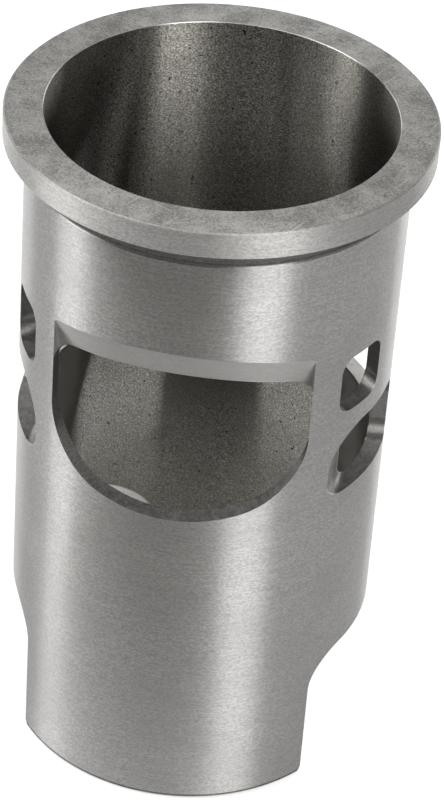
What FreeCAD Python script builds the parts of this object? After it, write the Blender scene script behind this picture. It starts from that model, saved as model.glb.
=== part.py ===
"""Cylinder liner of a single-cylinder two-stroke engine with a 54 mm bore.

The liner is one iron casting, bored, ground and honed. It stands on its skirt:
the origin is on the bore axis at the foot of the skirt, +Z points to the
cylinder head and the exhaust port faces -Y. Bearings are degrees about the
bore axis, counted from the exhaust side towards +X. All lengths are in
millimetres.
"""
import FreeCAD, Part

import collections
import math
import os

Vector = FreeCAD.Vector
TangentArc = collections.namedtuple("TangentArc", "side middle end")

# Barrel
BORE_DIAMETER = 54.0
WALL = 2.65
LENGTH = 114.2

# Flange at the head end, and the grinding relief under it
FLANGE_DIAMETER = 66.1
FLANGE_THICKNESS = 4.4
FLANGE_TOP_CHAMFER = 0.3
FLANGE_SEAT_CHAMFER = 0.15
RELIEF_GROOVE_WIDTH = 3.4
RELIEF_GROOVE_DEPTH = 0.45
BORE_MOUTH_CHAMFER = 0.15

# Skirt end: outside lead for the crankcase and inside lead for the piston
SKIRT_OUTER_CHAMFER = 0.4
SKIRT_INNER_CHAMFER = 0.6

# Exhaust port: a D lying on its round side. It is measured at the bore, and on
# its way out it widens a little and its floor drops. Its roof is the power
# valve recess, which climbs steeply through the wall and arches down towards
# the sides. The corners of the roof are round at the bore and almost sharp
# outside.
EXHAUST_FLOOR = 58.7
EXHAUST_FLOOR_DROP = 0.45
EXHAUST_FLOOR_RADIUS = 39.3
EXHAUST_CORNER_RADIUS = 12.6
EXHAUST_WIDTH = 39.8
EXHAUST_SIDE_FLARE = 0.15
EXHAUST_HEIGHT = 25.5
VALVE_RECESS_RISE = 5.5
ROOF_ARCH_RADIUS_INSIDE = 63.0
ROOF_ARCH_RADIUS_OUTSIDE = 82.0
ROOF_CORNER_RADIUS_INSIDE = 4.9
ROOF_CORNER_RADIUS_OUTSIDE = 0.9

# Auxiliary exhaust ports, one on each side. The bridge is the metal that the
# outside of the barrel keeps between the exhaust and the auxiliary port, and
# the slant turns the port from the radius there towards the exhaust.
AUXILIARY_BRIDGE = 5.64
AUXILIARY_SLANT = 9.3
AUXILIARY_FLOOR = 74.25
AUXILIARY_HEIGHT = 10.25
AUXILIARY_WIDTH = 9.4
AUXILIARY_CORNER_RADIUS = 2.6

# Transfer ports: all share one floor, level with the piston at its lowest
TRANSFER_FLOOR = 58.3
TRANSFER_HEIGHT = 12.4
TRANSFER_CORNER_RADIUS = 2.7

# Main transfers, measured on the outside of the barrel, seen from the side. On
# its way in the front wall leans back, to steer the charge away from the
# exhaust, and the floor rises.
MAIN_TRANSFER_BRIDGE = 4.8
MAIN_TRANSFER_WIDTH = 20.0
MAIN_TRANSFER_FLOOR_RISE = 0.6
MAIN_TRANSFER_FRONT_LEAN = 6.1
MAIN_TRANSFER_REAR_LEAN = 1.1
MAIN_TRANSFER_FOOT_RADIUS_INSIDE = 1.6
MAIN_TRANSFER_FRONT_ROOF_RADIUS = 7.2
MAIN_TRANSFER_REAR_ROOF_RADIUS = 4.4

# Rear transfers, cut along a radius
REAR_TRANSFER_BRIDGE = 6.3
REAR_TRANSFER_WIDTH = 16.0

# Boost port, opposite the exhaust
BOOST_WIDTH = 14.0
BOOST_HEIGHT = 14.2

# Skirt windows: one cut straight across feeds the transfer ducts on both
# sides and leaves a wide front tongue and a narrow rear one
SKIRT_CUT_FRONT = -18.1
SKIRT_CUT_REAR = 24.7
SKIRT_CUT_TOP_FRONT = 24.5
SKIRT_CUT_TOP_REAR = 25.3
SKIRT_CUT_FRONT_RADIUS = 6.3
SKIRT_CUT_REAR_RADIUS = 11.0
TONGUE_CORNER_RADIUS = 1.5

# Chamfer that lets the piston rings pass the ports and windows
RING_CHAMFER = 0.2

# How far a cutter reaches past the metal that it cuts, and how far one does
# whose outline changes through the wall
OVERRUN = 6.0
WALL_OVERRUN = 0.3

BORE_RADIUS = BORE_DIAMETER / 2
BODY_RADIUS = BORE_RADIUS + WALL
FLANGE_RADIUS = FLANGE_DIAMETER / 2
FLANGE_SEAT = LENGTH - FLANGE_THICKNESS
TOOL_REACH = FLANGE_RADIUS + OVERRUN


def bearing_past(bearing, arc):
    """Return the bearing that lies a length of arc farther round the outside of the barrel."""
    return bearing + math.degrees(arc / BODY_RADIUS)


EXHAUST_HALF_WIDTH_OUTSIDE = EXHAUST_WIDTH / 2 + EXHAUST_SIDE_FLARE
EXHAUST_EDGE_BEARING = math.degrees(math.asin(EXHAUST_HALF_WIDTH_OUTSIDE / BODY_RADIUS))
AUXILIARY_EDGE_BEARING = bearing_past(EXHAUST_EDGE_BEARING, AUXILIARY_BRIDGE)
MAIN_TRANSFER_EDGE_BEARING = bearing_past(EXHAUST_EDGE_BEARING, MAIN_TRANSFER_BRIDGE)
MAIN_TRANSFER_FRONT = -BODY_RADIUS * math.cos(math.radians(MAIN_TRANSFER_EDGE_BEARING))
MAIN_TRANSFER_REAR = MAIN_TRANSFER_FRONT + MAIN_TRANSFER_WIDTH
REAR_TRANSFER_EDGE_BEARING = bearing_past(
    math.degrees(math.acos(-MAIN_TRANSFER_REAR / BODY_RADIUS)), REAR_TRANSFER_BRIDGE
)


def wire_from(points):
    """Close a wire through points, each a Vector or a pair (mid, end) of an arc."""
    edges = []
    last = points[0]
    for step in points[1:] + points[:1]:
        if isinstance(step, tuple):
            middle, end = step
            edges.append(Part.Arc(last, middle, end).toShape())
        else:
            end = step
            if last.distanceToPoint(end) > 1e-6:
                edges.append(Part.makeLine(last, end))
        last = end
    return Part.Wire(edges)


def rounded_corner(before, corner, after, radius):
    """Return the start, middle and end of the arc that rounds a corner."""
    into = (before - corner).normalize()
    out = (after - corner).normalize()
    half_angle = into.getAngle(out) / 2
    reach = radius / math.tan(half_angle)
    bisector = (into + out).normalize()
    centre = corner + bisector * (radius / math.sin(half_angle))
    return corner + into * reach, centre - bisector * radius, corner + out * reach


def rounded_outline(corners, radii):
    """Return the closed wire through corners, each rounded to its own radius."""
    steps = []
    count = len(corners)
    for index, (corner, radius) in enumerate(zip(corners, radii)):
        if radius <= 0:
            steps.append(corner)
            continue
        before = corners[index - 1]
        after = corners[(index + 1) % count]
        start, middle, end = rounded_corner(before, corner, after, radius)
        steps.append(start)
        steps.append((middle, end))
    return wire_from(steps)


def tangent_arc(half_width, wide_centre, wide_radius, radius, up):
    """Return the arc that leads from the port's right side into its arched floor or roof.

    The wide arc of the floor or roof is centred on the port's middle line. up is 1
    for a corner at the roof and -1 for one at the floor.
    """
    centre_x = half_width - radius
    centre_z = wide_centre + up * math.sqrt((wide_radius - radius)**2 - centre_x**2)
    lean = math.atan2(centre_x, up * (centre_z - wide_centre))

    def at(angle):
        return Vector(
            centre_x + radius * math.sin(angle), 0, centre_z + up * radius * math.cos(angle)
        )

    upright = math.pi / 2
    return TangentArc(at(upright), at((upright + lean) / 2), at(lean))


def mirrored(point):
    """Return a point's mirror image on the other side of the exhaust."""
    return Vector(-point.x, point.y, point.z)


def liner_blank():
    """Return the turned, bored and ground sleeve before its ports are cut."""
    groove_bottom = FLANGE_SEAT - RELIEF_GROOVE_WIDTH
    groove_radius = BODY_RADIUS - RELIEF_GROOVE_DEPTH
    section = [
        (BORE_RADIUS + SKIRT_INNER_CHAMFER, 0),
        (BODY_RADIUS - SKIRT_OUTER_CHAMFER, 0),
        (BODY_RADIUS, SKIRT_OUTER_CHAMFER),
        (BODY_RADIUS, groove_bottom - RELIEF_GROOVE_DEPTH),
        (groove_radius, groove_bottom),
        (groove_radius, FLANGE_SEAT),
        (FLANGE_RADIUS - FLANGE_SEAT_CHAMFER, FLANGE_SEAT),
        (FLANGE_RADIUS, FLANGE_SEAT + FLANGE_SEAT_CHAMFER),
        (FLANGE_RADIUS, LENGTH - FLANGE_TOP_CHAMFER),
        (FLANGE_RADIUS - FLANGE_TOP_CHAMFER, LENGTH),
        (BORE_RADIUS + BORE_MOUTH_CHAMFER, LENGTH),
        (BORE_RADIUS, LENGTH - BORE_MOUTH_CHAMFER),
        (BORE_RADIUS, SKIRT_INNER_CHAMFER),
    ]
    outline = wire_from([Vector(radius, 0, height) for radius, height in section])
    return Part.Face(outline).revolve(Vector(0, 0, 0), Vector(0, 0, 1), 360)


def at_depth(depth, inside, outside):
    """Return a size at a depth in the wall, 0 at the bore and 1 at the outside of the barrel."""
    return inside + (outside - inside) * depth


def exhaust_outline(depth):
    """Return the exhaust port's outline, seen from in front, at a depth in the wall."""
    floor = EXHAUST_FLOOR - EXHAUST_FLOOR_DROP * depth
    half = EXHAUST_WIDTH / 2 + EXHAUST_SIDE_FLARE * depth
    roof = EXHAUST_FLOOR + EXHAUST_HEIGHT + VALVE_RECESS_RISE * depth
    arch = at_depth(depth, ROOF_ARCH_RADIUS_INSIDE, ROOF_ARCH_RADIUS_OUTSIDE)
    corner = at_depth(depth, ROOF_CORNER_RADIUS_INSIDE, ROOF_CORNER_RADIUS_OUTSIDE)

    low = tangent_arc(
        half, floor + EXHAUST_FLOOR_RADIUS, EXHAUST_FLOOR_RADIUS, EXHAUST_CORNER_RADIUS, -1
    )
    high = tangent_arc(half, roof - arch, arch, corner, 1)
    return wire_from([
        high.side,
        low.side,
        (low.middle, low.end),
        (Vector(0, 0, floor), mirrored(low.end)),
        (mirrored(low.middle), mirrored(low.side)),
        mirrored(high.side),
        (mirrored(high.middle), mirrored(high.end)),
        (Vector(0, 0, roof), high.end),
        (high.middle, high.side),
    ])


def front_patch(radius, outline):
    """Return the part of the cylinder of this radius that an outline covers, seen from in front."""
    quarter = Vector(radius, 0, 0)
    arc = Part.Arc(quarter, Vector(0, -radius, 0), quarter * -1).toShape()
    sheet = arc.extrude(Vector(0, 0, LENGTH))
    beam = Part.Face(outline).extrude(Vector(0, -TOOL_REACH, 0))
    return sheet.common(beam).Faces[0]


def place_in_patch(patch, edge):
    """Return where the middle of an edge of a patch lies in it, from 0 to 1 across and upward."""
    box = patch.BoundBox
    middle = edge.valueAt((edge.FirstParameter + edge.LastParameter) / 2)
    return Vector((middle.x - box.XMin) / box.XLength, 0, (middle.z - box.ZMin) / box.ZLength)


def port_through_wall(outline_at):
    """Return a port in front whose outline changes through the wall.

    outline_at gives its outline at a depth, 0 at the bore and 1 at the outside of the
    barrel. Straight lines through the wall join the two outlines.
    """
    overrun_depth = WALL_OVERRUN / WALL
    inner = front_patch(BORE_RADIUS - WALL_OVERRUN, outline_at(-overrun_depth))
    outer = front_patch(BODY_RADIUS + WALL_OVERRUN, outline_at(1 + overrun_depth))
    sides = []
    for inner_edge in inner.OuterWire.Edges:
        place = place_in_patch(inner, inner_edge)
        outer_edge = min(
            outer.OuterWire.Edges,
            key=lambda edge: place.distanceToPoint(place_in_patch(outer, edge)),
        )
        sides.append(Part.makeRuledSurface(inner_edge, outer_edge))
    shell = Part.makeShell([inner, outer] + sides)
    shell.sewShape()
    return Part.makeSolid(shell)


def sideways_slot(corners, radii):
    """Return a slot cut straight across the liner, from its outline of (y, z) corners."""
    points = [Vector(-TOOL_REACH, y, z) for y, z in corners]
    face = Part.Face(rounded_outline(points, radii))
    return face.extrude(Vector(2 * TOOL_REACH, 0, 0))


def aimed_port(bearing, offset, width, floor, height, radius):
    """Return a round-cornered duct that leaves the bore along a bearing.

    The offset moves the duct sideways from the axis, in the sense of a growing bearing.
    """
    left = offset - width / 2
    right = offset + width / 2
    ceiling = floor + height
    start = BORE_RADIUS / 3
    corners = [(left, floor), (right, floor), (right, ceiling), (left, ceiling)]
    points = [Vector(x, -start, z) for x, z in corners]
    face = Part.Face(rounded_outline(points, [radius] * len(corners)))
    duct = face.extrude(Vector(0, start - TOOL_REACH, 0))
    duct.rotate(Vector(0, 0, 0), Vector(0, 0, 1), bearing)
    return duct


def both_sides(cutter):
    """Return a cutter and its mirror image on the other side of the exhaust."""
    return [cutter, cutter.mirror(Vector(0, 0, 0), Vector(1, 0, 0))]


def auxiliary_cutters():
    """Return the two auxiliary exhaust ports."""
    aim = AUXILIARY_EDGE_BEARING - AUXILIARY_SLANT
    edge_offset = BODY_RADIUS * math.sin(math.radians(AUXILIARY_SLANT))
    port = aimed_port(
        aim,
        edge_offset + AUXILIARY_WIDTH / 2,
        AUXILIARY_WIDTH,
        AUXILIARY_FLOOR,
        AUXILIARY_HEIGHT,
        AUXILIARY_CORNER_RADIUS,
    )
    return both_sides(port)


def main_transfer_outline(depth):
    """Return the outline of the main transfer on the +X side at a depth in the wall.

    It is drawn as if the port were turned to the front, with its front wall on the left.
    """
    front = at_depth(depth, MAIN_TRANSFER_FRONT + MAIN_TRANSFER_FRONT_LEAN, MAIN_TRANSFER_FRONT)
    rear = at_depth(depth, MAIN_TRANSFER_REAR - MAIN_TRANSFER_REAR_LEAN, MAIN_TRANSFER_REAR)
    floor = at_depth(depth, TRANSFER_FLOOR + MAIN_TRANSFER_FLOOR_RISE, TRANSFER_FLOOR)
    roof = TRANSFER_FLOOR + TRANSFER_HEIGHT
    corners = [(front, floor), (rear, floor), (rear, roof), (front, roof)]
    front_foot_radius = at_depth(
        depth, MAIN_TRANSFER_FOOT_RADIUS_INSIDE, TRANSFER_CORNER_RADIUS
    )
    front_roof_radius = at_depth(
        depth, MAIN_TRANSFER_REAR_ROOF_RADIUS, MAIN_TRANSFER_FRONT_ROOF_RADIUS
    )
    radii = [
        front_foot_radius,
        TRANSFER_CORNER_RADIUS,
        MAIN_TRANSFER_REAR_ROOF_RADIUS,
        front_roof_radius,
    ]
    return rounded_outline([Vector(x, 0, z) for x, z in corners], radii)


def main_transfer_cutters():
    """Return the two main transfer ports."""
    quarter_turn = 90
    port = port_through_wall(main_transfer_outline)
    port.rotate(Vector(0, 0, 0), Vector(0, 0, 1), quarter_turn)
    return both_sides(port)


def rear_transfer_cutters():
    """Return the two rear transfer ports."""
    half_width_angle = math.degrees(math.asin(REAR_TRANSFER_WIDTH / 2 / BODY_RADIUS))
    port = aimed_port(
        REAR_TRANSFER_EDGE_BEARING + half_width_angle,
        0,
        REAR_TRANSFER_WIDTH,
        TRANSFER_FLOOR,
        TRANSFER_HEIGHT,
        TRANSFER_CORNER_RADIUS,
    )
    return both_sides(port)


def boost_cutter():
    """Return the boost port opposite the exhaust."""
    opposite = 180
    return aimed_port(
        opposite, 0, BOOST_WIDTH, TRANSFER_FLOOR, BOOST_HEIGHT, TRANSFER_CORNER_RADIUS
    )


def skirt_cutter():
    """Return the cut across the skirt that leaves the front and rear tongues."""
    foot_front = SKIRT_CUT_FRONT - TONGUE_CORNER_RADIUS
    foot_rear = SKIRT_CUT_REAR + TONGUE_CORNER_RADIUS
    corners = [
        (foot_front, -OVERRUN),
        (foot_rear, -OVERRUN),
        (foot_rear, 0),
        (SKIRT_CUT_REAR, 0),
        (SKIRT_CUT_REAR, SKIRT_CUT_TOP_REAR),
        (SKIRT_CUT_FRONT, SKIRT_CUT_TOP_FRONT),
        (SKIRT_CUT_FRONT, 0),
        (foot_front, 0),
    ]
    radii = [
        0,
        0,
        0,
        TONGUE_CORNER_RADIUS,
        SKIRT_CUT_REAR_RADIUS,
        SKIRT_CUT_FRONT_RADIUS,
        TONGUE_CORNER_RADIUS,
        0,
    ]
    return sideways_slot(corners, radii)


def lies_in_bore(edge):
    """Return whether an edge lies on the surface of the bore."""
    steps = 4
    span = edge.LastParameter - edge.FirstParameter
    points = [edge.valueAt(edge.FirstParameter + span * step / steps) for step in range(steps + 1)]
    return all(abs(math.hypot(point.x, point.y) - BORE_RADIUS) < 0.01 for point in points)


def touches(cutter, edge):
    """Return whether the middle of an edge lies on a cutter."""
    middle = edge.valueAt((edge.FirstParameter + edge.LastParameter) / 2)
    return cutter.distToShape(Part.Vertex(middle))[0] < 0.01


def with_ring_chamfer(liner, cutter):
    """Return the liner with the bore edges of the opening that a cutter made chamfered."""
    edges = [edge for edge in liner.Edges if lies_in_bore(edge) and touches(cutter, edge)]
    return liner.makeChamfer(RING_CHAMFER, edges)


def cylinder_liner():
    """Return the finished liner."""
    cutters = [port_through_wall(exhaust_outline), boost_cutter(), skirt_cutter()]
    cutters += auxiliary_cutters()
    cutters += main_transfer_cutters()
    cutters += rear_transfer_cutters()
    liner = liner_blank().cut(cutters)
    for cutter in cutters:
        liner = with_ring_chamfer(liner, cutter)
    return liner


def main():
    """Write the liner to its STEP file."""
    os.makedirs("parts", exist_ok=True)
    liner = cylinder_liner()
    print("solids", len(liner.Solids), "valid", liner.isValid(), "volume", round(liner.Volume))
    liner.exportStep("parts/cylinder_liner.step")


if __name__ == "__main__":
    main()
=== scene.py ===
"""Looks of the cylinder liner: a ground and honed cast-iron sleeve on a pale studio floor."""
import logging
import math
from dataclasses import dataclass, field
from enum import Enum
from typing import Any

import bpy
from mathutils import Matrix, Vector

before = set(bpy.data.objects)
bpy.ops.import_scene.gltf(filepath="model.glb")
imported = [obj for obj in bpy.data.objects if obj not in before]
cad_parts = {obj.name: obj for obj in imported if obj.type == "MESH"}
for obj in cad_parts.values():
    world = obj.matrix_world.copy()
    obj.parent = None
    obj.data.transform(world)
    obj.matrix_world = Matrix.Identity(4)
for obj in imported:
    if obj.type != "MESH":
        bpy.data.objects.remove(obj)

log = logging.getLogger("liner")
MM = 0.001

Socket = Any
Colour = tuple[float, float, float]
Band = tuple[float, float]
WHITE: Colour = (1.0, 1.0, 1.0)


class Sum(Enum):
    """The sums that a Math node works out here."""

    ADD = "ADD"
    SUBTRACT = "SUBTRACT"
    MULTIPLY = "MULTIPLY"
    GREATER = "MAXIMUM"
    ROOT = "SQRT"
    ABSOLUTE = "ABSOLUTE"


class Sheet:
    """A node tree that is written like a list of sums.

    Args:
        tree: the node tree of a material or of the world.
    """

    def __init__(self, tree: bpy.types.NodeTree) -> None:
        """Keep the tree and take out the nodes that Blender puts there."""
        self.tree = tree
        tree.nodes.clear()

    def node(self, kind: str, **settings: Any) -> bpy.types.Node:
        """Add a node.

        Args:
            kind: the node's type name without its ShaderNode prefix.
            settings: attributes that are set on the node.

        Returns:
            The new node.
        """
        made = self.tree.nodes.new("ShaderNode" + kind)
        for name, value in settings.items():
            setattr(made, name, value)
        return made

    def feed(self, socket: Socket, value: Any) -> None:
        """Link an output to an input, or set the input to a plain value."""
        if isinstance(value, bpy.types.NodeSocket):
            self.tree.links.new(value, socket)
        elif isinstance(value, tuple) and len(value) == 3 and socket.type == "RGBA":
            socket.default_value = (*value, 1.0)
        else:
            socket.default_value = value

    def sum(self, kind: Sum, *terms: Any) -> Socket:
        """Work out one number.

        Args:
            kind: the sum.
            terms: its numbers, as sockets or plain values.

        Returns:
            The socket with the result.
        """
        made = self.node("Math", operation=kind.value)
        for socket, term in zip(made.inputs, terms):
            self.feed(socket, term)
        return made.outputs[0]

    def times(self, first: Any, *others: Any) -> Socket:
        """Return the product of two or more numbers."""
        product = first
        for other in others:
            product = self.sum(Sum.MULTIPLY, product, other)
        return product

    def step(self, value: Socket, band: Band, start: float = 0.0, end: float = 1.0) -> Socket:
        """Take a smooth step across a band.

        Args:
            value: the number that is looked at.
            band: where the step begins and ends.
            start: the result below the band.
            end: the result above it.

        Returns:
            The socket with the result.
        """
        made = self.node("MapRange", interpolation_type="SMOOTHSTEP")
        names = ("Value", "From Min", "From Max", "To Min", "To Max")
        for name, term in zip(names, (value, *band, start, end)):
            self.feed(made.inputs[name], term)
        return made.outputs["Result"]

    def fall(self, value: Socket, band: Band) -> Socket:
        """Return a smooth step from 1 below a band to 0 above it."""
        return self.step(value, band, 1.0, 0.0)

    def blend(self, share: Any, under: Any, over: Any) -> Socket:
        """Return a colour laid over another by a share from 0 to 1."""
        made = self.node("Mix", data_type="RGBA")
        self.feed(made.inputs[0], share)
        self.feed(made.inputs[6], under)
        self.feed(made.inputs[7], over)
        return made.outputs[2]

    def between(self, share: Any, under: Any, over: Any) -> Socket:
        """Return a number between two others by a share from 0 to 1."""
        made = self.node("Mix", data_type="FLOAT")
        self.feed(made.inputs[0], share)
        self.feed(made.inputs[2], under)
        self.feed(made.inputs[3], over)
        return made.outputs[0]

    def parts(self, vector: Socket) -> tuple[Socket, Socket, Socket]:
        """Return the x, y and z of a vector."""
        made = self.node("SeparateXYZ")
        self.feed(made.inputs[0], vector)
        return tuple(made.outputs)

    def seen_or_mirrored(self) -> Socket:
        """Return 1 for what the camera sees, directly or in a reflection, and 0 for light."""
        rays = self.node("LightPath")
        seen = self.sum(Sum.GREATER, rays.outputs["Is Camera Ray"], rays.outputs["Is Glossy Ray"])
        return self.sum(Sum.GREATER, seen, rays.outputs["Is Transmission Ray"])

    def surface(self, shader: bpy.types.Node, output: str = "OutputMaterial") -> None:
        """Make a shader the tree's result."""
        self.feed(self.node(output).inputs["Surface"], shader.outputs[0])


@dataclass(frozen=True)
class Grain:
    """A cloud of grain from 0 to 1, around one half.

    Args:
        scale: grains per metre in x, y and z.
        detail: how many finer layers lie on it.
        roughness: how strong the finer layers are.
    """

    scale: tuple[float, float, float]
    detail: float = 2.0
    roughness: float = 0.5

    def lay(self, sheet: Sheet, place: Socket) -> Socket:
        """Lay the grain on a sheet.

        Args:
            sheet: the material's node tree.
            place: the point on the part, in metres.

        Returns:
            The grain at that point.
        """
        drawn = sheet.node("VectorMath", operation="MULTIPLY")
        sheet.feed(drawn.inputs[0], place)
        drawn.inputs[1].default_value = self.scale
        made = sheet.node("TexNoise")
        sheet.feed(made.inputs["Vector"], drawn.outputs[0])
        made.inputs["Scale"].default_value = 1.0
        made.inputs["Detail"].default_value = self.detail
        made.inputs["Roughness"].default_value = self.roughness
        return made.outputs["Fac"]


def even(scale: float, detail: float = 2.0, roughness: float = 0.5) -> Grain:
    """Return a grain that has the same scale in every direction."""
    return Grain((scale, scale, scale), detail, roughness)


@dataclass(frozen=True)
class Coat:
    """What a finish gives at a point: colour, roughness, share of bare metal, height in metres."""

    colour: Socket
    roughness: Socket
    metal: Socket | float
    height: Socket


@dataclass(frozen=True)
class Zones:
    """Where a point lies on the liner: its place, and a share from 0 to 1 for each worked face."""

    place: Socket
    bore: Socket
    deck: Socket
    rim: Socket
    # Painted shade: the relief groove and the edge at the foot.
    groove: Socket
    wall: Socket
    # Painted shade: the steep walls of the ports on the right.
    upright: Socket
    exhaust: Socket
    # Painted light: the skirt cut and the walls of the rear openings.
    painted_light_walls: Socket
    recess: Socket
    edge: Socket


@dataclass(frozen=True)
class GroundFinish:
    """The outside, ground between centres: fine rings round the barrel in satin grey iron."""

    colour: Colour = (0.380, 0.373, 0.365)
    dark: Colour = (0.252, 0.247, 0.240)
    roughness: float = 0.38
    roughness_spread: float = 0.12
    metal: float = 1.0
    rings: Grain = Grain((220.0, 220.0, 5200.0), detail=3.0, roughness=0.6)
    ring_share: float = 0.3
    grain: Grain = Grain((2000.0, 2000.0, 3600.0), detail=3.0, roughness=0.65)
    tone_band: Band = (0.38, 0.62)
    clouds: Grain = even(75.0, detail=3.0)
    cloud_band: Band = (0.35, 0.7)
    cloud_share: float = 0.35
    depth: float = 0.0000020

    def coat(self, sheet: Sheet, place: Socket) -> Coat:
        """Lay the finish on a sheet.

        Args:
            sheet: the material's node tree.
            place: the point on the part.

        Returns:
            The finish at that point.
        """
        rings = self.rings.lay(sheet, place)
        grain = self.grain.lay(sheet, place)
        clouds = self.clouds.lay(sheet, place)
        tone = sheet.sum(
            Sum.ADD,
            sheet.times(rings, self.ring_share),
            sheet.times(grain, 1.0 - self.ring_share),
        )
        colour = sheet.blend(sheet.step(tone, self.tone_band), self.dark, self.colour)
        clouded = sheet.step(clouds, self.cloud_band, 0.0, self.cloud_share)
        colour = sheet.blend(clouded, colour, self.dark)
        spread = sheet.times(sheet.sum(Sum.SUBTRACT, rings, 0.5), self.roughness_spread)
        rough = sheet.sum(Sum.ADD, self.roughness, spread)
        return Coat(colour, rough, self.metal, sheet.times(tone, self.depth))


@dataclass(frozen=True)
class HonedFinish:
    """The bore: honed dark iron with graphite pits and specks, the brightest painted in as glints.

    Above the ports it has a darker belt, and below them it is smoother and its grain is weaker.
    Heights are in metres above the foot.
    """

    colour: Colour = (0.32, 0.308, 0.282)
    dark: Colour = (0.085, 0.080, 0.068)
    pit: Colour = (0.022, 0.019, 0.013)
    # Painted highlight: a near-white colour for the brightest specks, standing for glints.
    glint: Colour = (0.70, 0.69, 0.66)
    # The darker, flatter colour that covers half of the grain below the ports.
    deep_colour: Colour = (0.155, 0.149, 0.137)
    metal: float = 1.0
    specks: Grain = Grain((4800.0 / 1.4, 4800.0 / 1.4, 4800.0), detail=2.0, roughness=0.6)
    tone_band: Band = (0.35, 0.62)
    glint_band: Band = (0.60, 0.74)
    glint_share: float = 0.8
    pits: Grain = even(4800.0 / 4.5, detail=1.0)
    pit_band: Band = (0.70, 0.78)
    clouds: Grain = even(120.0, detail=3.0)
    cloud_band: Band = (0.4, 0.75)
    cloud_share: float = 0.3
    upper_band: Band = (0.058, 0.074)
    upper_roughness: float = 0.33
    deep_roughness: float = 0.16
    dark_grain_roughness: float = 0.06
    light_grain_roughness: float = -0.02
    deep_contrast: float = 0.5
    belt_start: Band = (0.066, 0.078)
    belt_end: Band = (0.080, 0.110)
    belt_share: float = 0.68
    depth: float = 0.0000010

    def coat(self, sheet: Sheet, place: Socket) -> Coat:
        """Lay the finish on a sheet.

        Args:
            sheet: the material's node tree.
            place: the point on the part.

        Returns:
            The finish at that point.
        """
        specks = self.specks.lay(sheet, place)
        clouds = self.clouds.lay(sheet, place)
        height = sheet.parts(place)[2]
        tone = sheet.step(specks, self.tone_band)
        upper = sheet.step(height, self.upper_band)
        colour = sheet.blend(tone, self.dark, self.colour)
        # Painted highlight: the brightest specks take the glint colour.
        glints = sheet.step(specks, self.glint_band, 0.0, self.glint_share)
        colour = sheet.blend(glints, colour, self.glint)
        colour = sheet.blend(sheet.between(upper, self.deep_contrast, 1.0), self.deep_colour, colour)
        clouded = sheet.step(clouds, self.cloud_band, 0.0, self.cloud_share)
        colour = sheet.blend(clouded, colour, self.dark)
        belt = sheet.times(
            sheet.step(height, self.belt_start), sheet.fall(height, self.belt_end), self.belt_share
        )
        colour = sheet.blend(belt, colour, self.pit)
        pits = sheet.step(self.pits.lay(sheet, place), self.pit_band)
        colour = sheet.blend(pits, colour, self.pit)
        rough = sheet.sum(
            Sum.ADD,
            sheet.between(upper, self.deep_roughness, self.upper_roughness),
            sheet.between(tone, self.dark_grain_roughness, self.light_grain_roughness),
        )
        return Coat(colour, rough, self.metal, sheet.times(specks, self.depth))


@dataclass(frozen=True)
class FacedFinish:
    """The deck: faced and dull, with faint stains, small dark specks and thin scratches."""

    colour: Colour = (0.205, 0.201, 0.190)
    dark: Colour = (0.078, 0.076, 0.071)
    speck: Colour = (0.05, 0.05, 0.047)
    scratch: Colour = (0.30, 0.297, 0.285)
    roughness: float = 0.74
    roughness_spread: float = 0.12
    metal: float = 0.15
    stains: Grain = even(210.0, detail=6.0, roughness=0.72)
    grain: Grain = even(2600.0, detail=3.0, roughness=0.65)
    tone_band: Band = (0.38, 0.61)
    specks: Grain = even(900.0, detail=2.0, roughness=0.55)
    speck_band: Band = (0.66, 0.73)
    speck_share: float = 0.7
    clouds: Grain = even(90.0)
    scratch_angles: tuple[float, ...] = (25.0, 118.0)
    scratches: Grain = Grain((90.0, 2400.0, 1.0), detail=1.0)
    scratch_band: Band = (0.70, 0.76)
    scratch_share: float = 0.5
    depth: float = 0.000008

    def scratched(self, sheet: Sheet, place: Socket, angle: float) -> Socket:
        """Draw thin straight scratches across the deck.

        Args:
            sheet: the material's node tree.
            place: the point on the part.
            angle: the way that the scratches run, in degrees.

        Returns:
            Their share from 0 to 1.
        """
        turned = sheet.node("VectorRotate", rotation_type="Z_AXIS")
        sheet.feed(turned.inputs["Vector"], place)
        turned.inputs["Angle"].default_value = math.radians(angle)
        drawn = self.scratches.lay(sheet, turned.outputs[0])
        return sheet.step(drawn, self.scratch_band, 0.0, self.scratch_share)

    def coat(self, sheet: Sheet, place: Socket) -> Coat:
        """Lay the finish on a sheet.

        Args:
            sheet: the material's node tree.
            place: the point on the part.

        Returns:
            The finish at that point.
        """
        stains = self.stains.lay(sheet, place)
        grain = self.grain.lay(sheet, place)
        clouds = self.clouds.lay(sheet, place)
        specks = self.specks.lay(sheet, place)
        tone = sheet.between(0.5, stains, grain)
        colour = sheet.blend(sheet.step(tone, self.tone_band), self.dark, self.colour)
        specked = sheet.step(specks, self.speck_band, 0.0, self.speck_share)
        colour = sheet.blend(specked, colour, self.speck)
        for angle in self.scratch_angles:
            colour = sheet.blend(self.scratched(sheet, place, angle), colour, self.scratch)
        spread = sheet.times(clouds, self.roughness_spread)
        rough = sheet.sum(Sum.ADD, self.roughness, spread)
        return Coat(colour, rough, self.metal, sheet.times(grain, self.depth))


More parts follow.
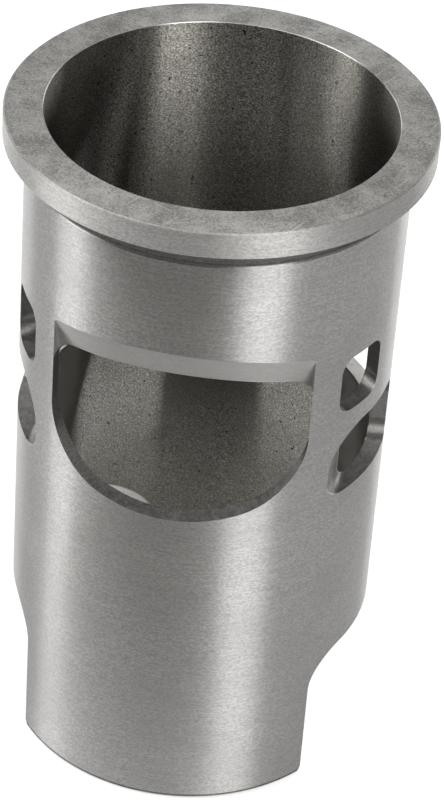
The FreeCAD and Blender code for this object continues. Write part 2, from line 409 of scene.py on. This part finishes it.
@dataclass(frozen=True)
class MilledFinish:
    """Port walls and relief groove as cut; some copies carry painted shade, one painted light."""

    colour: Colour = (0.213, 0.206, 0.196)
    dark: Colour = (0.110, 0.107, 0.100)
    roughness: float = 0.45
    roughness_spread: float = 0.1
    metal: float = 0.8
    marks: Grain = Grain((700.0, 700.0, 4200.0), detail=2.0)
    grain: Grain = even(3600.0, detail=2.0)
    tone_band: Band = (0.3, 0.7)
    depth: float = 0.000003

    def coat(self, sheet: Sheet, place: Socket) -> Coat:
        """Lay the finish on a sheet.

        Args:
            sheet: the material's node tree.
            place: the point on the part.

        Returns:
            The finish at that point.
        """
        tone = sheet.between(0.5, self.marks.lay(sheet, place), self.grain.lay(sheet, place))
        colour = sheet.blend(sheet.step(tone, self.tone_band), self.dark, self.colour)
        rough = sheet.between(
            tone, self.roughness + self.roughness_spread, self.roughness - self.roughness_spread
        )
        return Coat(colour, rough, self.metal, sheet.times(tone, self.depth))


def past(start: float, band: Band) -> Band:
    """Return a band that is given in millimetres past a start, in metres."""
    return ((start + band[0]) * MM, (start + band[1]) * MM)


@dataclass(frozen=True)
class LinerShape:
    """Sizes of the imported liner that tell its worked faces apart, in millimetres.

    In each band, one finish goes over into the next. Bands named after the bore, the body or
    the groove are counted from that size, and the others from the part's origin.
    """

    bore_radius: float = 27.0
    body_radius: float = 29.65
    flange_seat: float = 109.8
    groove_foot: float = 105.95
    length: float = 114.2
    bore_skin: Band = (0.04, 0.10)
    bore_chamfer: Band = (0.02, 0.06)
    bore_wall: Band = (0.10, 0.18)
    bore_mouth: Band = (0.06, 0.12)
    bore_groove: Band = (0.5, 1.0)
    body_wall: Band = (-0.09, -0.05)
    body_groove: Band = (-0.3, -0.1)
    body_foot: Band = (-0.8, -0.7)
    body_rim: Band = (0.2, 0.5)
    groove_start: Band = (-0.1, 0.0)
    groove_end: Band = (-0.02, 0.05)
    deck_skin: Band = (-0.12, -0.04)
    deck_mouth: Band = (-0.16, -0.12)
    foot: Band = (0.7, 0.9)
    skirt: Band = (35.0, 40.0)
    rear: Band = (8.5, 9.5)
    exhaust_side: Band = (-16.0, -14.0)
    exhaust_foot: Band = (40.0, 41.0)
    recess_foot: Band = (79.3, 80.0)
    right_side: Band = (0.0, 1.0)
    steepness: Band = (0.35, 0.60)
    edge_share: float = 0.5

    def wall_shares(
        self, sheet: Sheet, wall: Socket, place: Socket, normal: Socket
    ) -> tuple[Socket, Socket, Socket, Socket]:
        """Tell the walls of the openings apart.

        Args:
            sheet: the material's node tree.
            wall: the share of all the walls.
            place: the point on the part.
            normal: the way its face looks.

        Returns:
            The shares of the steep walls on the right, which get painted shade, of the
            exhaust side, of the skirt cut with the rear openings, which get painted
            light, and of the valve recess.
        """
        x, y, height = sheet.parts(place)
        slope = sheet.sum(Sum.ABSOLUTE, sheet.parts(normal)[2])
        # Painted shade: only the steep walls on the right side are darkened, for the shade on them.
        upright = sheet.times(
            wall, sheet.fall(slope, self.steepness), sheet.step(x, past(0.0, self.right_side))
        )
        exhaust = sheet.times(
            wall,
            sheet.fall(y, past(0.0, self.exhaust_side)),
            sheet.step(height, past(0.0, self.exhaust_foot)),
        )
        skirt = sheet.fall(height, past(0.0, self.skirt))
        rear = sheet.step(y, past(0.0, self.rear))
        # Painted light: the skirt cut and the walls of the rear openings are made pale for the
        # bright floor and light seen past them.
        painted_light_walls = sheet.times(wall, sheet.sum(Sum.GREATER, skirt, rear))
        recess = sheet.times(exhaust, sheet.step(height, past(0.0, self.recess_foot)))
        return upright, exhaust, painted_light_walls, recess

    def groove_share(
        self, sheet: Sheet, radius: Socket, height: Socket, below_groove: Socket
    ) -> Socket:
        """Find the relief groove and the edge at the foot, which both get painted shade.

        Args:
            sheet: the material's node tree.
            radius: the point's distance to the axis.
            height: its height above the foot.
            below_groove: 1 below the groove and 0 from there up.

        Returns:
            The share of both.
        """
        # Painted shade: the groove under the flange is darkened for the flange's shadow.
        groove = sheet.times(
            sheet.sum(Sum.SUBTRACT, 1.0, below_groove),
            sheet.fall(height, past(self.flange_seat, self.groove_end)),
            sheet.fall(radius, past(self.body_radius, self.body_groove)),
            sheet.step(radius, past(self.bore_radius, self.bore_groove)),
        )
        # Painted shade: a thin dark ring at the foot of the barrel for the shade where it meets the
        # floor.
        foot = sheet.times(
            sheet.fall(height, past(0.0, self.foot)),
            sheet.step(radius, past(self.body_radius, self.body_foot)),
        )
        return sheet.sum(Sum.GREATER, groove, foot)

    def edge_share_at(
        self, sheet: Sheet, radius: Socket, height: Socket, below_groove: Socket
    ) -> Socket:
        """Find the ring chamfers at the openings and the one at the bore's mouth.

        Args:
            sheet: the material's node tree.
            radius: the point's distance to the axis.
            height: its height above the foot.
            below_groove: 1 below the groove and 0 from there up.

        Returns:
            The share of all the chamfers.
        """
        ring = sheet.times(
            sheet.step(radius, past(self.bore_radius, self.bore_chamfer)),
            sheet.fall(radius, past(self.bore_radius, self.bore_wall)),
            below_groove,
            self.edge_share,
        )
        mouth = sheet.times(
            sheet.step(height, past(self.length, self.deck_mouth)),
            sheet.fall(radius, past(self.bore_radius, self.bore_mouth)),
        )
        return sheet.sum(Sum.GREATER, ring, mouth)

    def zones(self, sheet: Sheet) -> Zones:
        """Find the worked faces from a point's distance to the axis, its height and its side.

        Args:
            sheet: the material's node tree.

        Returns:
            The point and its shares.
        """
        point = sheet.node("TexCoord")
        place = point.outputs["Object"]
        x, y, height = sheet.parts(place)
        square = sheet.sum(Sum.ADD, sheet.times(x, x), sheet.times(y, y))
        radius = sheet.sum(Sum.ROOT, square)
        below_groove = sheet.fall(height, past(self.groove_foot, self.groove_start))
        wall = sheet.times(
            sheet.step(radius, past(self.bore_radius, self.bore_wall)),
            sheet.fall(radius, past(self.body_radius, self.body_wall)),
            below_groove,
        )
        upright, exhaust, painted_light_walls, recess = self.wall_shares(
            sheet, wall, place, point.outputs["Normal"]
        )
        return Zones(
            place=place,
            bore=sheet.fall(radius, past(self.bore_radius, self.bore_skin)),
            deck=sheet.step(height, past(self.length, self.deck_skin)),
            rim=sheet.step(radius, past(self.body_radius, self.body_rim)),
            groove=self.groove_share(sheet, radius, height, below_groove),
            wall=wall,
            upright=upright,
            exhaust=exhaust,
            painted_light_walls=painted_light_walls,
            recess=recess,
            edge=self.edge_share_at(sheet, radius, height, below_groove),
        )


@dataclass
class CylinderLiner:
    """The liner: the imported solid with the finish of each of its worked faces."""

    node: str = "cylinder_liner"
    shape: LinerShape = field(default_factory=LinerShape)
    ground: GroundFinish = GroundFinish()
    honed: HonedFinish = HonedFinish()
    faced: FacedFinish = FacedFinish()
    turned: GroundFinish = GroundFinish(
        colour=(0.41, 0.403, 0.390), dark=(0.275, 0.270, 0.260), roughness=0.70, metal=0.8
    )
    milled: MilledFinish = MilledFinish()
    # Painted shade: a near-black copy of the milled finish for the steep walls on the right; the
    # left walls keep the milled colour.
    painted_shade_wall: MilledFinish = MilledFinish(
        colour=(0.075, 0.072, 0.068), dark=(0.038, 0.037, 0.034), roughness=0.45, metal=0.8
    )
    exhaust_wall: MilledFinish = MilledFinish(
        colour=(0.14, 0.136, 0.129), dark=(0.06, 0.058, 0.054), roughness=0.5, metal=0.8
    )
    valve_recess: MilledFinish = MilledFinish(
        colour=(0.22, 0.216, 0.207), dark=(0.18, 0.176, 0.169), roughness=0.8, metal=0.3
    )
    # Painted light: pale iron that stands for the bright floor and light seen through the skirt cut
    # and the rear openings.
    painted_light_cut: MilledFinish = MilledFinish(
        colour=(0.62, 0.61, 0.59), dark=(0.48, 0.47, 0.455), roughness=0.5, metal=0.4
    )
    # Painted shade: the dark colour of the relief groove stands for the flange's shadow, and at the
    # foot edge for the shade where the barrel meets the floor; the high roughness is the groove's
    # rough as-cast surface.
    relief: MilledFinish = MilledFinish(
        colour=(0.11, 0.106, 0.099), dark=(0.045, 0.043, 0.039), roughness=0.7, metal=0.3
    )
    edge_colour: Colour = (0.34, 0.335, 0.325)
    edge_roughness: float = 0.28
    brushing: float = 1.0
    brushing_turn: float = 0.25

    def coat(self, sheet: Sheet, zones: Zones) -> Coat:
        """Lay the finishes of the worked faces over that of the ground outside.

        Args:
            sheet: the material's node tree.
            zones: the point on the part and its shares.

        Returns:
            The finish at that point.
        """
        coat = self.ground.coat(sheet, zones.place)
        for share, finish in (
            (zones.bore, self.honed),
            (zones.rim, self.turned),
            (zones.wall, self.milled),
            # painted shade on the steep walls on the right
            (zones.upright, self.painted_shade_wall),
            (zones.exhaust, self.exhaust_wall),
            (zones.recess, self.valve_recess),
            # painted light on the skirt cut and the rear openings
            (zones.painted_light_walls, self.painted_light_cut),
            # painted shade in the relief groove and at the foot
            (zones.groove, self.relief),
            (zones.deck, self.faced),
        ):
            over = finish.coat(sheet, zones.place)
            coat = Coat(
                sheet.blend(share, coat.colour, over.colour),
                sheet.between(share, coat.roughness, over.roughness),
                sheet.between(share, coat.metal, over.metal),
                sheet.between(share, coat.height, over.height),
            )
        return coat

    def material(self) -> bpy.types.Material:
        """Make the one material of the casting.

        Returns:
            The material, which holds the finish of every worked face.
        """
        made = bpy.data.materials.new("worked_cast_iron")
        made.use_nodes = True
        sheet = Sheet(made.node_tree)
        zones = self.shape.zones(sheet)
        coat = self.coat(sheet, zones)
        shader = sheet.node("BsdfPrincipled")
        colour = sheet.blend(zones.edge, coat.colour, self.edge_colour)
        rough = sheet.between(zones.edge, coat.roughness, self.edge_roughness)
        sheet.feed(shader.inputs["Base Color"], colour)
        sheet.feed(shader.inputs["Roughness"], rough)
        sheet.feed(shader.inputs["Metallic"], coat.metal)
        shader.inputs["Anisotropic"].default_value = self.brushing
        shader.inputs["Anisotropic Rotation"].default_value = self.brushing_turn
        tangent = sheet.node("Tangent", direction_type="RADIAL", axis="Z")
        sheet.feed(shader.inputs["Tangent"], tangent.outputs[0])
        bump = sheet.node("Bump")
        bump.inputs["Strength"].default_value = 1.0
        bump.inputs["Distance"].default_value = 1.0
        sheet.feed(bump.inputs["Height"], coat.height)
        sheet.feed(shader.inputs["Normal"], bump.outputs[0])
        sheet.surface(shader)
        return made

    def dress(self, nodes: dict[str, bpy.types.Object]) -> bpy.types.Object:
        """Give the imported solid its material.

        Args:
            nodes: the CAD nodes by name.

        Returns:
            The dressed object.
        """
        liner = nodes[self.node]
        finish = self.material()
        for slot in liner.material_slots:
            slot.link = "OBJECT"
            slot.material = finish
        return liner


@dataclass(frozen=True)
class SoftLamp:
    """A rectangular studio lamp that faces the part.

    Its bearing is in degrees from the exhaust side towards +X, and its sizes are in metres.
    """

    name: str
    bearing: float
    elevation: float
    width: float
    height: float
    radiance: float
    distance: float = 0.9
    aim: Vector = field(default_factory=lambda: Vector((0.0, 0.0, 0.06)))

    def place(self) -> bpy.types.Object:
        """Put the lamp in the studio.

        Returns:
            The lamp.
        """
        bearing, elevation = math.radians(self.bearing), math.radians(self.elevation)
        out = Vector((
            math.sin(bearing) * math.cos(elevation),
            -math.cos(bearing) * math.cos(elevation),
            math.sin(elevation),
        ))
        data = bpy.data.lights.new(self.name, "AREA")
        data.shape = "RECTANGLE"
        data.size, data.size_y = self.width, self.height
        data.energy = self.radiance * math.pi * self.width * self.height
        lamp = bpy.data.objects.new(self.name, data)
        lamp.location = self.aim + out * self.distance
        lamp.rotation_mode = "QUATERNION"
        lamp.rotation_quaternion = out.to_track_quat("Z", "Y")
        lamp.visible_camera = False
        bpy.context.scene.collection.objects.link(lamp)
        return lamp


@dataclass(frozen=True)
class ShadeCard:
    """A grey card on the floor, part of a ring round the axis, which only reflections show.
    It paints shade into the reflections of the pale floor.

    Bearings are in degrees from the exhaust side towards +X, and lengths in metres.
    """

    name: str
    bearings: tuple[float, float]
    radii: tuple[float, float]
    colour: Colour
    lift: float = 0.0001
    steps: int = 24

    def mesh(self) -> bpy.types.Mesh:
        """Return the card's mesh, a strip of flat quads between its two radii."""
        first, last = self.bearings
        turn = (last - first) / self.steps
        bearings = [math.radians(first + turn * step) for step in range(self.steps + 1)]
        corners = [
            (radius * math.sin(bearing), -radius * math.cos(bearing), self.lift)
            for radius in self.radii
            for bearing in bearings
        ]
        row = len(bearings)
        faces = [(i, i + 1, row + i + 1, row + i) for i in range(self.steps)]
        made = bpy.data.meshes.new(self.name)
        made.from_pydata(corners, [], faces)
        return made

    def place(self) -> bpy.types.Object:
        """Lay the card on the floor.

        Returns:
            The card.
        """
        mesh = self.mesh()
        card = bpy.data.objects.new(self.name, mesh)
        bpy.context.scene.collection.objects.link(card)
        material = bpy.data.materials.new(self.name)
        material.use_nodes = True
        sheet = Sheet(material.node_tree)
        shader = sheet.node("BsdfDiffuse")
        sheet.feed(shader.inputs["Color"], self.colour)
        sheet.surface(shader)
        mesh.materials.append(material)
        card.visible_camera = card.visible_diffuse = card.visible_shadow = False
        return card


@dataclass(frozen=True)
class PhotoCamera:
    """The camera of the photograph: its place, the way it looks and its frame."""

    location: Vector = field(default_factory=lambda: Vector((0.05906, -0.38939, 0.35478)))
    bearing: float = 7.35
    elevation: float = 36.0758
    roll: float = 4.7933
    lens: float = 137.44
    sensor_width: float = 36.0
    shift: tuple[float, float] = (-0.04756, -0.04488)
    reach: tuple[float, float] = (0.01, 20.0)

    def rotation(self) -> Matrix:
        """Return the camera's rotation as a matrix."""
        bearing = math.radians(self.bearing)
        elevation = math.radians(self.elevation)
        roll = math.radians(self.roll)
        ahead = Vector((
            -math.sin(bearing) * math.cos(elevation),
            math.cos(bearing) * math.cos(elevation),
            -math.sin(elevation),
        ))
        level = Vector((math.cos(bearing), math.sin(bearing), 0.0))
        upright = level.cross(ahead)
        right = level * math.cos(roll) + upright * math.sin(roll)
        up = upright * math.cos(roll) - level * math.sin(roll)
        return Matrix((right, up, -ahead)).transposed()

    def place(self) -> bpy.types.Object:
        """Put the camera in the scene and make it the scene's own.

        Returns:
            The camera.
        """
        data = bpy.data.cameras.new("photo_camera")
        data.lens = self.lens
        data.sensor_width = self.sensor_width
        data.shift_x, data.shift_y = self.shift
        data.clip_start, data.clip_end = self.reach
        camera = bpy.data.objects.new("photo_camera", data)
        camera.matrix_world = Matrix.LocRotScale(
            self.location, self.rotation().to_quaternion(), None
        )
        bpy.context.scene.collection.objects.link(camera)
        bpy.context.scene.camera = camera
        return camera


@dataclass
class Studio:
    """The plain studio round the part: a pale floor, soft lamps and a white surrounding."""

    floor_radius: float = 6.0
    floor_sides: int = 96
    floor_drop: float = 0.0001
    floor_colour: Colour = (0.93, 0.93, 0.93)
    floor_whiteness: float = 0.6
    lamps: tuple[SoftLamp, ...] = (
        SoftLamp(
            "right_softbox", bearing=41.0, elevation=47.0, width=0.37, height=1.5, radiance=6.9
        ),
        SoftLamp(
            "left_softbox", bearing=-75.5, elevation=47.0, width=0.34, height=1.5, radiance=8.2
        ),
        SoftLamp(
            "left_rear_softbox", bearing=-128.0, elevation=8.0, width=0.60, height=0.3, radiance=4.1
        ),
        SoftLamp(
            "right_rear_softbox", bearing=146.0, elevation=8.0, width=0.50, height=0.3, radiance=4.7
        ),
    )
    # Painted shade in reflections: the front card darkens the floor's reflection in front of the
    # part, and the inner card stands for the shade on the floor inside the liner.
    cards: tuple[ShadeCard, ...] = (
        ShadeCard(
            "front_shade_card", bearings=(-62.0, 24.0), radii=(0.062, 0.8), colour=(0.35, 0.343, 0.328)
        ),
        ShadeCard(
            "inner_shade_card", bearings=(0.0, 360.0), radii=(0.001, 0.0265), colour=(0.66, 0.652, 0.632)
        ),
    )
    horizon: float = 1.0
    zenith: float = 0.2
    horizon_band: Band = (0.05, 0.55)
    shade_bearing: float = -18.0
    shade_band: Band = (0.70, 0.86)
    front_shade: float = 0.25

    def paper(self) -> bpy.types.Material:
        """Return the floor's material: it takes shadows, and is nearly white to the eye."""
        made = bpy.data.materials.new("pale_floor")
        made.use_nodes = True
        sheet = Sheet(made.node_tree)
        paper = sheet.node("BsdfDiffuse")
        sheet.feed(paper.inputs["Color"], self.floor_colour)
        white = sheet.node("Emission")
        sheet.feed(white.inputs["Color"], WHITE)
        white.inputs["Strength"].default_value = 1.0
        mixed = sheet.node("MixShader")
        share = sheet.times(sheet.seen_or_mirrored(), self.floor_whiteness)
        sheet.feed(mixed.inputs[0], share)
        sheet.feed(mixed.inputs[1], paper.outputs[0])
        sheet.feed(mixed.inputs[2], white.outputs[0])
        sheet.surface(mixed)
        return made

    def floor(self) -> bpy.types.Object:
        """Lay the pale floor under the part.

        Returns:
            The floor.
        """
        turn = 2 * math.pi / self.floor_sides
        corners = [
            (
                self.floor_radius * math.cos(turn * side),
                self.floor_radius * math.sin(turn * side),
                -self.floor_drop,
            )
            for side in range(self.floor_sides)
        ]
        mesh = bpy.data.meshes.new("floor")
        mesh.from_pydata(corners, [], [tuple(range(self.floor_sides))])
        mesh.materials.append(self.paper())
        floor = bpy.data.objects.new("floor", mesh)
        bpy.context.scene.collection.objects.link(floor)
        return floor

    def surroundings(self) -> bpy.types.World:
        """Make the world white to the eye, and as light pale at the horizon and dim overhead.

        Returns:
            The world.
        """
        world = bpy.data.worlds.new("studio")
        world.use_nodes = True
        sheet = Sheet(world.node_tree)
        x, y, z = sheet.parts(sheet.node("TexCoord").outputs["Generated"])
        light = sheet.step(z, self.horizon_band, self.horizon, self.zenith)
        bearing = math.radians(self.shade_bearing)
        ahead = sheet.sum(
            Sum.SUBTRACT,
            sheet.times(x, math.sin(bearing)),
            sheet.times(y, math.cos(bearing)),
        )
        light = sheet.times(light, sheet.step(ahead, self.shade_band, 1.0, self.front_shade))
        background = sheet.node("Background")
        sheet.feed(background.inputs["Color"], WHITE)
        seen = sheet.node("LightPath").outputs["Is Camera Ray"]
        sheet.feed(background.inputs["Strength"], sheet.between(seen, light, 1.0))
        sheet.surface(background, "OutputWorld")
        bpy.context.scene.world = world
        return world

    def build(self) -> None:
        """Lay the floor and the cards, hang the lamps and light the surroundings."""
        log.info("floor %s", self.floor().name)
        for card in self.cards:
            log.info("card %s", card.place().name)
        for lamp in self.lamps:
            log.info("lamp %s", lamp.place().name)
        log.info("surroundings %s", self.surroundings().name)


def main() -> None:
    """Build the studio, place the camera and dress the liner."""
    logging.basicConfig(level=logging.INFO, format="%(name)s: %(message)s")
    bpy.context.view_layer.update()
    bpy.context.scene.view_settings.view_transform = "Standard"
    log.info("camera %s", PhotoCamera().place().name)
    Studio().build()
    log.info("piece %s", CylinderLiner().dress(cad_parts).name)


if __name__ == "__main__":
    main()
